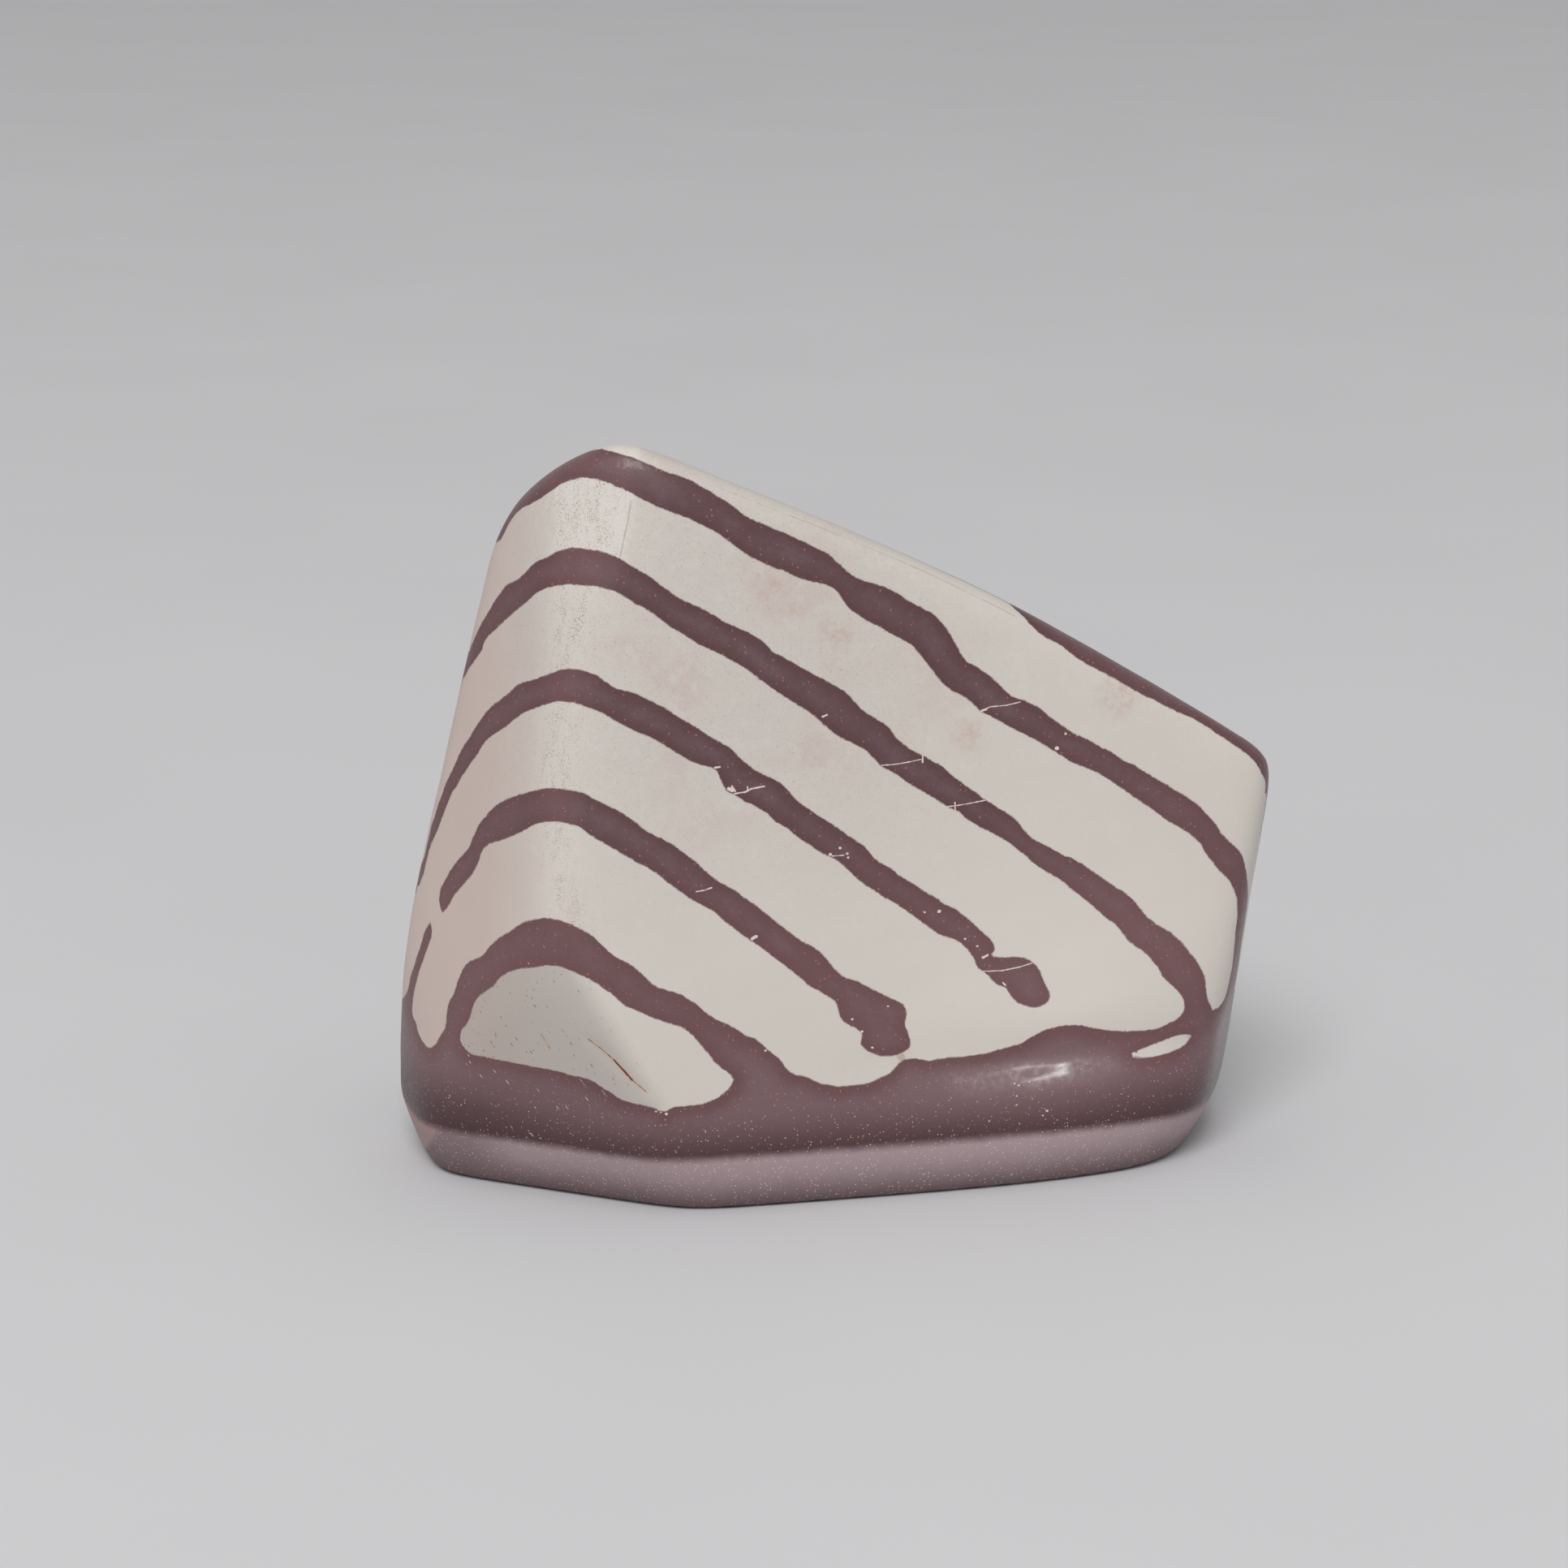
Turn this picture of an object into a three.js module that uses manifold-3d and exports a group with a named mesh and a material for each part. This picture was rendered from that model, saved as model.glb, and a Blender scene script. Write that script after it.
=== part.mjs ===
// Zebra rock specimen: one block of banded siltstone, ground to a freeform and standing on its flat base.
// Millimetres, +Z up. The front looks along -Y, and the origin is at the middle of the base.
import * as THREE from 'three';
import { mergeVertices } from 'three/addons/utils/BufferGeometryUtils.js';
import Module from 'manifold-3d';

// The inner point that every ground face is measured from.
const HEART = new THREE.Vector3(0.5, -3.25, 36);

// The ground faces. "round" and "up" say which way a face looks, in degrees: round from the front
// towards +X, and up from level. "out" is how far the face lies from the heart of the stone.
const FACES = {
  front: { round: 13, up: 7, out: 18.9 },
  ridge: { round: -18, up: 12, out: 32.3 },
  left: { round: -52, up: 9, out: 38.8 },
  right: { round: 79, up: -8, out: 44.6 },
  back: { round: 178, up: 12, out: 25 },
  backLeft: { round: -122, up: 13, out: 32.4 },
  backRight: { round: 130, up: 5, out: 36 },
  top: { round: 120, up: 65, out: 28.7 },
  shoulder: { round: 112, up: 57, out: 29.2 },
  crown: { round: -117, up: 65, out: 45.5 },
  topLeft: { round: -102, up: 43, out: 47.2 },
  toe: { round: -23, up: -12, out: 36.4 },
  heel: { round: -75, up: -2, out: 47.2 },
  footFront: { round: 12, up: -2, out: 23.3 },
  footRight: { round: 24, up: -6, out: 28.7 },
  corner: { round: 52, up: -16, out: 43.5 },
};

// How softly the worn edges blend one face into the next.
const EDGE_SOFTNESS = 1.1;

// The bevel round the base: below its height, the sides step in by this slope, after a soft bend.
const BEVEL_HEIGHT = 6.2;
const BEVEL_SLOPE = 0.36;
const BEVEL_BEND = 0.7;

// The skin's fineness, and a reach that is outside the stone in every direction.
const CELLS_PER_SIDE = 29;
const REACH = 90;
const HALVINGS = 32;

// A face's outward direction.
function facing({ round, up }) {
  const r = THREE.MathUtils.degToRad(round);
  const u = THREE.MathUtils.degToRad(up);
  return new THREE.Vector3(Math.cos(u) * Math.sin(r), -Math.cos(u) * Math.cos(r), Math.sin(u));
}

const PLANES = Object.values(FACES).map((face) => ({ normal: facing(face), out: face.out }));

// Largest of several numbers, rounded off over a given softness where two of them are close.
function softMax(values, softness) {
  const top = Math.max(...values);
  const sum = values.reduce((total, value) => total + Math.exp((value - top) / softness), 0);
  return top + softness * Math.log(sum);
}

// Negative inside the stone, zero on its skin and positive outside it.
function outside(point) {
  const offset = point.clone().sub(HEART);
  const beyond = PLANES.map(({ normal, out }) => normal.dot(offset) - out);
  const stepIn = BEVEL_SLOPE * softMax([0, BEVEL_HEIGHT - point.z], BEVEL_BEND);
  return softMax(beyond, EDGE_SOFTNESS) + stepIn;
}

// The point of the skin that lies in a given direction from the heart, found by halving.
function skinPoint(direction) {
  let inner = 0;
  let outer = REACH;
  for (let i = 0; i < HALVINGS; i++) {
    const middle = (inner + outer) / 2;
    const tooFar = outside(HEART.clone().addScaledVector(direction, middle)) > 0;
    if (tooFar) outer = middle;
    else inner = middle;
  }
  return HEART.clone().addScaledVector(direction, (inner + outer) / 2);
}

// The stone before its base is ground flat: a cube's grid, spread evenly over all directions,
// with each vertex moved out to the skin.
function roughStone() {
  const n = CELLS_PER_SIDE;
  const geometry = new THREE.BoxGeometry(2, 2, 2, n, n, n);
  const vertices = geometry.attributes.position;
  const direction = new THREE.Vector3();
  const spread = (value) => Math.tan((value * Math.PI) / 4);
  for (let i = 0; i < vertices.count; i++) {
    direction.fromBufferAttribute(vertices, i);
    direction.set(spread(direction.x), spread(direction.y), spread(direction.z)).normalize();
    vertices.setXYZ(i, ...skinPoint(direction).toArray());
  }
  return geometry;
}

const wasm = await Module();
wasm.setup();

// A three.js geometry as a closed solid that can be cut.
function toSolid(geometry) {
  geometry.deleteAttribute('normal');
  geometry.deleteAttribute('uv');
  const merged = mergeVertices(geometry, 1e-4);
  return new wasm.Manifold(new wasm.Mesh({
    numProp: 3,
    vertProperties: new Float32Array(merged.attributes.position.array),
    triVerts: new Uint32Array(merged.index.array),
  }));
}

// A cut solid back as a three.js geometry.
function toGeometry(solid) {
  const mesh = solid.getMesh();
  const geometry = new THREE.BufferGeometry();
  geometry.setAttribute('position', new THREE.BufferAttribute(mesh.vertProperties, 3));
  geometry.setIndex(new THREE.BufferAttribute(mesh.triVerts, 1));
  geometry.computeVertexNormals();
  return geometry;
}

// Everything below z = 0 is ground away, which leaves the flat base.
function groundAway() {
  const size = 2 * REACH;
  return new THREE.BoxGeometry(size, size, size).translate(0, 0, -size / 2);
}

const stoneGeometry = toGeometry(toSolid(roughStone()).subtract(toSolid(groundAway())));

// Cream siltstone with a satin polish; the brown bands are only colour.
const stoneMaterial = new THREE.MeshStandardMaterial({ color: 0xcec7bf, roughness: 0.5, metalness: 0 });

const zebraRock = new THREE.Mesh(stoneGeometry, stoneMaterial);
zebraRock.name = 'zebra_rock';

const specimen = new THREE.Group();
specimen.add(zebraRock);

export default specimen;
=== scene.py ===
"""Looks of the zebra rock specimen: a banded stone ground to a freeform, on a plain pale floor."""

import bpy
import numpy as np
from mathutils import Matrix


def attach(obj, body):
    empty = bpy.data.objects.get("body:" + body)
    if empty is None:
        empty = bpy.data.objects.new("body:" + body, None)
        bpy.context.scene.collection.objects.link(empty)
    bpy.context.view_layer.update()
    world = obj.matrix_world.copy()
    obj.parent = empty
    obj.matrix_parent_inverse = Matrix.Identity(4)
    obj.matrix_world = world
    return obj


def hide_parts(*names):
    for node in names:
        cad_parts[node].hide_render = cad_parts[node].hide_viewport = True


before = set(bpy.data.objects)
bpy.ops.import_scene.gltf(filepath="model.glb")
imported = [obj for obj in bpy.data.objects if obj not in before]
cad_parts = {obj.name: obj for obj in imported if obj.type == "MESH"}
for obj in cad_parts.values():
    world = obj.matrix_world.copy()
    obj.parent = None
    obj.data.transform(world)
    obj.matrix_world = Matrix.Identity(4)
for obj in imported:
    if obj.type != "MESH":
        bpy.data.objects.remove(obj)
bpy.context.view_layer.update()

MM = 0.001

# The camera: it looks along +Y and a little down. Picture points are in the 1932 x 1932 frame.
CAMERA = np.array([-4.94, -450.19, 159.50])
LOOKING_DOWN = np.radians(15)
LENS = 100
SENSOR = 36
PICTURE = 1932
FOCAL = PICTURE * LENS / SENSOR
MM_PER_PIXEL = 0.085
RIGHTWARD = np.array([1.0, 0.0, 0.0])
FORWARD = np.array([0.0, np.cos(LOOKING_DOWN), -np.sin(LOOKING_DOWN)])
UPWARD = np.array([0.0, np.sin(LOOKING_DOWN), np.cos(LOOKING_DOWN)])

# The stone's inner point, and its ground faces: degrees round from the front towards +X, degrees up
# from level, and how far the face lies from the inner point, in mm.
HEART = np.array([0.5, -3.25, 36.0])
FACES = {
    "front": (13, 7, 18.9),
    "ridge": (-18, 12, 32.3),
    "left": (-52, 9, 38.8),
    "right": (79, -8, 44.6),
    "back": (178, 12, 25),
    "back left": (-122, 13, 32.4),
    "back right": (130, 5, 36),
    "top": (120, 65, 28.7),
    "shoulder": (112, 57, 29.2),
    "crown": (-117, 65, 45.5),
    "top left": (-102, 43, 47.2),
    "toe": (-23, -12, 36.4),
    "heel": (-75, -2, 47.2),
    "foot front": (12, -2, 23.3),
    "foot right": (24, -6, 28.7),
    "corner": (52, -16, 43.5),
}
EDGE_SOFTNESS = 1.1

# Places where the edges are crisper: the point, how far it reaches, and by how much, in mm.
CRISP_EDGES = {
    "toe": ((-29, -24, 14), 11.0, 0.68),
    "ridge": ((-26, -21, 62), 7.0, 0.45),
}
BEVEL_HEIGHT = 6.2
BEVEL_SLOPE = 0.36
BEVEL_BEND = 0.7
BASE_EDGE = 0.5

# Cells of the skin along x, y and z, and the half sizes of the box whose grid it starts from.
CELLS = np.array([182, 56, 152])
BOX_HALF = np.array([46.0, 29.0, 40.0])
REACH = 90.0
HALVINGS = 34
SLOPE_STEP = 0.02

# Distances from the camera at which a line of sight is first tried, in mm.
SIGHT_STEPS = np.arange(380.0, 540.0)


# Shape

def soft_max(values, softness):
    """Largest of the rows, rounded off where two are close: top + softness x log of the sum of
    exp((value - top) / softness)."""
    top = values.max(axis=0)
    return top + softness * np.log(np.exp((values - top) / softness).sum(axis=0))


def face_normals():
    """One outward direction per ground face: (cos up x sin round, -cos up x cos round, sin up)."""
    round_, up = np.radians([face[:2] for face in FACES.values()]).T
    return np.stack([np.cos(up) * np.sin(round_), -np.cos(up) * np.cos(round_), np.sin(up)], axis=1)


FACE_NORMALS = face_normals()
FACE_OUT = np.array([face[2] for face in FACES.values()])


def outside(points):
    """Negative inside the stone: the soft maximum of the distances beyond every ground face, softened
    less by exp(-(distance / reach) squared) round each crisp place, plus the bevel's step inwards near
    the base, kept above the level of the base by a last soft maximum."""
    height = points[:, 2]
    beyond = FACE_NORMALS @ (points - HEART).T - FACE_OUT[:, None]
    step_in = BEVEL_SLOPE * soft_max(np.stack([0 * height, BEVEL_HEIGHT - height]), BEVEL_BEND)
    softness = EDGE_SOFTNESS
    for middle, reach, less in CRISP_EDGES.values():
        softness = softness - less * np.exp(-(((points - middle) / reach)**2).sum(axis=1))
    worn = soft_max(beyond, softness) + step_in
    return soft_max(np.stack([worn, -height]), BASE_EDGE)


def crossing(start, along, near, far):
    """Where lines enter or leave the stone: start + distance x along, with the distance between near
    and far halved over and over towards the change of sign."""
    near_inside = outside(start + along * near[:, None]) < 0
    for _ in range(HALVINGS):
        middle = (near + far) / 2
        same = (outside(start + along * middle[:, None]) < 0) == near_inside
        near = np.where(same, middle, near)
        far = np.where(same, far, middle)
    return start + along * far[:, None]


def normals_at(points):
    """The skin's outward direction: the slope of "outside" by small steps along each axis."""
    steps = SLOPE_STEP * np.eye(3)
    slope = [outside(points + step) - outside(points - step) for step in steps]
    slope = np.stack(slope, axis=1)
    return slope / np.linalg.norm(slope, axis=1)[:, None]


def box_grid():
    """Closed grid on a box, as whole-number places and quads: on each of the six sides, two counts run
    from 0 to their number of cells and the third stays at 0 or at its own number. Sides share the
    places along their edges. The quads turn the same way round, seen from outside."""
    places, quads, start = [], [], 0
    for axis in range(3):
        a, b = (axis + 1) % 3, (axis + 2) % 3
        for side in (0, 1):
            i, j = np.meshgrid(np.arange(CELLS[a] + 1), np.arange(CELLS[b] + 1), indexing="ij")
            grid = np.zeros(i.shape + (3,), int)
            grid[..., a] = i
            grid[..., b] = j
            grid[..., axis] = side * CELLS[axis]
            number = start + np.arange(i.size).reshape(i.shape)
            corners = [number[:-1, :-1], number[1:, :-1], number[1:, 1:], number[:-1, 1:]]
            if side == 0:
                corners.reverse()
            quads.append(np.stack(corners, axis=-1).reshape(-1, 4))
            places.append(grid.reshape(-1, 3))
            start += i.size
    places, shared = np.unique(np.concatenate(places), axis=0, return_inverse=True)
    return places, shared.reshape(-1)[np.concatenate(quads)]


def skin():
    """Points and quads of the smooth skin: each place of the box grid, seen from the heart, gives a
    direction, and its point lies where that direction leaves the stone."""
    places, quads = box_grid()
    along = (2 * places / CELLS - 1) * BOX_HALF
    along /= np.linalg.norm(along, axis=1)[:, None]
    count = len(along)
    return crossing(HEART, along, np.zeros(count), np.full(count, REACH)), quads


# From the picture to the stone and back

def picture_points(points):
    """Where points land in the picture: its middle, plus the focal length times (rightward part, or
    minus the upward part) / forward part of the way from the camera."""
    way = points - CAMERA
    depth = way @ FORWARD
    return np.stack([PICTURE / 2 + FOCAL * (way @ RIGHTWARD) / depth,
                     PICTURE / 2 - FOCAL * (way @ UPWARD) / depth], axis=1)


def on_stone(picture):
    """The skin under picture points: along each line of sight, the first step of 1 mm that is inside,
    then halved. Lines that miss the stone are left out."""
    offset = (np.asarray(picture, float) - PICTURE / 2) / FOCAL
    sight = FORWARD + offset[:, :1] * RIGHTWARD - offset[:, 1:] * UPWARD
    sight /= np.linalg.norm(sight, axis=1)[:, None]
    samples = CAMERA + sight[:, None, :] * SIGHT_STEPS[:, None]
    inside = outside(samples.reshape(-1, 3)).reshape(len(sight), -1) < 0
    hit = inside.any(axis=1)
    first = SIGHT_STEPS[inside.argmax(axis=1)][hit]
    return crossing(CAMERA, sight[hit], first - 1, first)


# Markings: outlines read on the picture, corner by corner round each marking. An outline may run
# past the stone's edge.

BAND_1 = [
    (612, 668), (590, 640), (600, 590), (660, 545), (715, 543), (745, 553), (760, 557), (780, 563),
    (800, 571), (820, 580), (840, 587), (860, 596), (880, 608), (900, 620), (920, 636), (940, 645),
    (960, 654), (980, 662), (1000, 672), (1020, 683), (1040, 700), (1060, 714), (1080, 720),
    (1100, 728), (1120, 740), (1130, 746), (1150, 756), (1165, 772), (1172, 782), (1181, 800),
    (1184, 806), (1192, 815), (1200, 819), (1220, 833), (1238, 850), (1247, 858), (1262, 863),
    (1280, 872), (1300, 888), (1320, 901), (1340, 911), (1360, 922), (1366, 925), (1385, 937),
    (1400, 944), (1420, 957), (1440, 968), (1460, 980), (1480, 995), (1490, 1007), (1500, 1018),
    (1510, 1032), (1520, 1041), (1528, 1049), (1534, 1062), (1538, 1085), (1539, 1115), (1536, 1145),
    (1532, 1175), (1528, 1200), (1523, 1225), (1515, 1260), (1495, 1280), (1485, 1262), (1497, 1247),
    (1505, 1240), (1511, 1228), (1515, 1212), (1519, 1192), (1521, 1175), (1523, 1150), (1525, 1125),
    (1524, 1105), (1518, 1090), (1510, 1080), (1500, 1071), (1493, 1060), (1485, 1050), (1480, 1041),
    (1470, 1031), (1460, 1023), (1440, 1012), (1420, 998), (1400, 984), (1380, 970), (1360, 957),
    (1352, 953), (1340, 947), (1320, 939), (1310, 933), (1300, 926), (1280, 914), (1260, 904),
    (1240, 893), (1220, 883), (1208, 877), (1200, 868), (1187, 858), (1170, 849), (1160, 840),
    (1150, 828), (1140, 815), (1128, 800), (1120, 793), (1100, 782), (1080, 771), (1060, 760),
    (1050, 753), (1040, 742), (1033, 730), (1020, 722), (1000, 717), (980, 710), (960, 702),
    (940, 694), (920, 683), (912, 678), (898, 667), (880, 655), (860, 645), (840, 636), (820, 628),
    (800, 620), (780, 609), (760, 599), (740, 592), (720, 589), (708, 590), (693, 595), (680, 603),
    (660, 617), (640, 628), (628, 642),
]
BAND_2 = [
    (548, 905), (535, 880), (555, 830), (577, 800), (585, 783), (595, 764), (605, 747), (614, 733),
    (622, 722), (632, 717), (640, 711), (650, 701), (660, 692), (680, 682), (692, 677), (705, 675),
    (720, 676), (740, 679), (760, 686), (780, 698), (800, 710), (820, 725), (840, 739), (860, 747),
    (880, 758), (900, 769), (920, 778), (935, 786), (947, 797), (953, 804), (965, 809), (980, 818),
    (1000, 829), (1020, 840), (1035, 848), (1045, 855), (1053, 865), (1066, 877), (1080, 886),
    (1095, 896), (1103, 908), (1113, 917), (1130, 927), (1150, 938), (1160, 944), (1180, 960),
    (1200, 975), (1215, 986), (1240, 1001), (1250, 1009), (1260, 1019), (1268, 1029), (1275, 1035),
    (1290, 1042), (1310, 1053), (1330, 1062), (1345, 1072), (1360, 1083), (1380, 1096), (1392, 1104),
    (1402, 1115), (1413, 1129), (1427, 1140), (1440, 1147), (1452, 1156), (1460, 1167), (1470, 1178),
    (1481, 1194), (1485, 1206), (1487, 1222), (1491, 1238), (1500, 1262), (1470, 1290), (1440, 1290),
    (1435, 1265), (1450, 1258), (1458, 1248), (1460, 1238), (1456, 1226), (1448, 1218), (1435, 1206),
    (1427, 1193), (1415, 1178), (1400, 1167), (1392, 1161), (1386, 1153), (1378, 1143), (1360, 1128),
    (1340, 1111), (1320, 1095), (1300, 1080), (1288, 1074), (1270, 1061), (1260, 1052), (1250, 1044),
    (1240, 1037), (1220, 1025), (1205, 1018), (1190, 1008), (1177, 998), (1166, 994), (1150, 983),
    (1130, 971), (1110, 959), (1100, 951), (1086, 944), (1072, 930), (1060, 921), (1040, 911),
    (1022, 900), (1016, 893), (1008, 886), (1000, 880), (980, 867), (960, 854), (940, 840),
    (920, 825), (900, 813), (880, 803), (860, 793), (840, 781), (820, 768), (800, 753), (780, 742),
    (760, 730), (740, 724), (715, 721), (690, 721), (673, 725), (660, 731), (650, 740), (630, 757),
    (610, 775), (596, 791), (592, 803), (580, 820), (570, 838), (560, 862),
]
BAND_3 = [
    (505, 1105), (505, 1075), (519, 1062), (524, 1045), (531, 1015), (541, 985), (550, 961),
    (560, 941), (570, 919), (580, 905), (590, 889), (597, 879), (610, 866), (625, 854), (632, 848),
    (642, 841), (660, 836), (680, 829), (693, 825), (705, 824), (718, 826), (730, 830), (745, 839),
    (762, 849), (780, 853), (800, 862), (820, 873), (840, 885), (860, 898), (880, 910), (900, 922),
    (910, 932), (920, 941), (928, 948), (940, 954), (960, 963), (970, 973), (982, 986), (1000, 999),
    (1020, 1012), (1040, 1026), (1058, 1037), (1067, 1045), (1075, 1055), (1084, 1062), (1100, 1071),
    (1107, 1078), (1120, 1085), (1140, 1098), (1160, 1111), (1180, 1122), (1200, 1138), (1214, 1151),
    (1223, 1161), (1226, 1170), (1221, 1177), (1232, 1180), (1256, 1179), (1271, 1184), (1279, 1192),
    (1285, 1204), (1290, 1216), (1294, 1229), (1290, 1236), (1278, 1241), (1264, 1240), (1252, 1235),
    (1245, 1227), (1239, 1218), (1226, 1211), (1214, 1199), (1204, 1192), (1200, 1181), (1190, 1168),
    (1178, 1159), (1155, 1150), (1140, 1140), (1120, 1125), (1100, 1112), (1080, 1100), (1065, 1089),
    (1050, 1077), (1040, 1067), (1030, 1060), (1010, 1049), (1000, 1043), (985, 1033), (970, 1021),
    (955, 1012), (946, 1003), (930, 993), (915, 986), (904, 979), (896, 974), (889, 964), (884, 951),
    (875, 946), (860, 942), (840, 932), (820, 919), (800, 908), (780, 900), (760, 889), (740, 878),
    (720, 870), (700, 866), (685, 865), (670, 869), (655, 874), (640, 881), (620, 897), (600, 911),
    (590, 926), (580, 940), (570, 955), (560, 971), (550, 991), (541, 1015), (533, 1035),
    (526, 1055), (518, 1085),
]
BAND_4 = [
    (540, 1112), (541, 1098), (547, 1084), (555, 1071), (563, 1059), (575, 1047), (583, 1030),
    (592, 1012), (601, 1002), (612, 991), (625, 984), (640, 979), (655, 975), (670, 971), (685, 971),
    (700, 973), (720, 978), (740, 988), (760, 999), (780, 1011), (795, 1023), (820, 1036),
    (840, 1049), (860, 1064), (880, 1083), (900, 1093), (920, 1108), (940, 1122), (960, 1139),
    (980, 1154), (1000, 1166), (1012, 1174), (1022, 1186), (1033, 1198), (1045, 1205), (1060, 1211),
    (1080, 1222), (1100, 1231), (1111, 1236), (1117, 1243), (1117, 1252), (1115, 1263), (1120, 1274),
    (1123, 1286), (1118, 1295), (1105, 1300), (1090, 1302), (1076, 1299), (1066, 1293), (1061, 1286),
    (1062, 1276), (1055, 1267), (1043, 1262), (1035, 1254), (1033, 1245), (1030, 1235), (1021, 1228),
    (1010, 1222), (998, 1216), (985, 1204), (970, 1193), (955, 1181), (940, 1170), (925, 1159),
    (910, 1149), (895, 1137), (880, 1124), (860, 1113), (842, 1102), (820, 1085), (800, 1070),
    (780, 1060), (760, 1048), (740, 1037), (728, 1030), (715, 1020), (700, 1015), (683, 1012),
    (665, 1014), (655, 1018), (640, 1026), (620, 1034), (602, 1040), (593, 1048), (589, 1060),
    (581, 1077), (568, 1092), (557, 1106), (551, 1118), (544, 1125),
]
BAND_6 = [
    (1218, 718), (1231, 731), (1241, 741), (1251, 750), (1263, 761), (1271, 770), (1282, 781),
    (1300, 791), (1312, 799), (1325, 809), (1345, 821), (1362, 830), (1380, 840), (1400, 852),
    (1420, 861), (1440, 872), (1460, 881), (1480, 890), (1500, 903), (1520, 917), (1535, 927),
    (1547, 939), (1555, 952), (1560, 965), (1562, 982), (1600, 985), (1610, 900), (1400, 780),
    (1250, 705),
]
STREAK = [
    (528, 1133), (531, 1145), (530, 1158), (525, 1172), (520, 1186), (514, 1203), (510, 1220),
    (507, 1240), (508, 1254), (512, 1266), (508, 1300), (480, 1275), (490, 1240), (501, 1222),
    (505, 1203), (511, 1185), (517, 1166), (522, 1148),
]
BASE_ZONE = [
    (440, 1290), (480, 1262), (508, 1256), (513, 1269), (519, 1283), (527, 1291), (535, 1287),
    (541, 1277), (548, 1266), (549, 1252), (551, 1238), (557, 1227), (561, 1216), (565, 1204),
    (571, 1192), (579, 1184), (590, 1180), (598, 1172), (606, 1162), (620, 1152), (632, 1144),
    (645, 1137), (658, 1133), (672, 1131), (687, 1133), (702, 1138), (718, 1146), (735, 1157),
    (746, 1168), (757, 1178), (770, 1185), (782, 1192), (795, 1204), (806, 1214), (820, 1219),
    (840, 1227), (857, 1236), (868, 1246), (880, 1255), (895, 1261), (910, 1270), (920, 1276),
    (932, 1281), (943, 1290), (954, 1299), (963, 1307), (968, 1316), (978, 1323), (990, 1326),
    (1000, 1330), (1012, 1335), (1030, 1338), (1050, 1338), (1065, 1336), (1080, 1330),
    (1095, 1323), (1104, 1316), (1112, 1308), (1122, 1305), (1145, 1307), (1160, 1305), (1180, 1303),
    (1200, 1301), (1220, 1298), (1240, 1292), (1260, 1286), (1273, 1278), (1286, 1270), (1300, 1266),
    (1318, 1263), (1335, 1264), (1350, 1268), (1370, 1271), (1390, 1272), (1410, 1271), (1428, 1268),
    (1445, 1262), (1470, 1255), (1500, 1256), (1530, 1240), (1600, 1240), (1700, 1600), (300, 1600),
    (380, 1320),
]
POCKET = [
    (640, 1194), (625, 1199), (614, 1206), (607, 1215), (597, 1222), (588, 1229), (582, 1239),
    (580, 1250), (575, 1261), (568, 1270), (566, 1281), (571, 1291), (580, 1299), (600, 1303),
    (620, 1307), (645, 1312), (670, 1317), (692, 1321), (705, 1326), (722, 1329), (737, 1337),
    (752, 1347), (764, 1355), (778, 1359), (795, 1363), (808, 1366), (818, 1370), (828, 1365),
    (845, 1363), (865, 1360), (880, 1355), (893, 1347), (902, 1337), (903, 1327), (893, 1319),
    (883, 1312), (875, 1301), (863, 1287), (852, 1275), (841, 1266), (825, 1262), (805, 1254),
    (785, 1246), (768, 1237), (757, 1227), (745, 1218), (732, 1210), (718, 1203), (703, 1196),
    (687, 1191), (672, 1190), (655, 1193),
]
# The lens is partly a real cream inclusion and partly a painted highlight, all painted cream.
CREAM_LENS_AND_HIGHLIGHT = [
    (1394, 1302), (1405, 1297), (1420, 1290), (1440, 1282), (1454, 1277), (1465, 1274), (1470, 1277),
    (1467, 1284), (1459, 1291), (1445, 1297), (1430, 1302), (1415, 1304), (1402, 1304),
]
RIDGE_GRAIN = [
    (668, 560), (730, 545), (778, 565), (776, 620), (765, 680), (740, 740), (728, 830), (716, 900),
    (712, 960), (706, 1040), (715, 1110), (725, 1150), (690, 1145), (675, 1120), (668, 1060),
    (662, 1000), (662, 930), (668, 860), (670, 790), (676, 700), (672, 620),
]
CORNER_FACET = [
    (485, 1345), (500, 1350), (510, 1361), (520, 1372), (530, 1382), (538, 1391), (535, 1400),
    (524, 1416), (515, 1425), (495, 1400),
]
RIDGE_FACET = [
    (686, 520), (785, 520), (783, 600), (779, 632), (766, 690), (745, 712), (684, 712), (685, 640),
]
TOE_FACET = [
    (548, 1290), (560, 1235), (590, 1205), (640, 1180), (690, 1168), (720, 1215), (750, 1262),
    (790, 1330), (812, 1372), (760, 1440), (640, 1440), (560, 1420),
]

BROWN_OUTLINES = (BAND_1, BAND_2, BAND_3, BAND_4, BAND_6, STREAK, BASE_ZONE)
CREAM_OUTLINES = (POCKET, CREAM_LENS_AND_HIGHLIGHT)

# Outlines of the zones that have a look of their own, and how softly each begins, in mm. They lie on
# the sides whose direction's y is below the limit.
SOFT_ZONES = {
    "grain": (RIDGE_GRAIN, 3.0),
    "facet": (RIDGE_FACET, 0.6),
    "toe": (TOE_FACET, 2.2),
    "corner": (CORNER_FACET, 0.5),
}
ZONE_FACING_LIMIT = 0.2

# How far out an outline is followed, and the longest stretch of it on the stone, in mm. A longer one
# jumps over a place where the outline runs past the stone's edge.
OUTLINE_REACH = 6.0
LONGEST_STRETCH = 6.0

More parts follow.
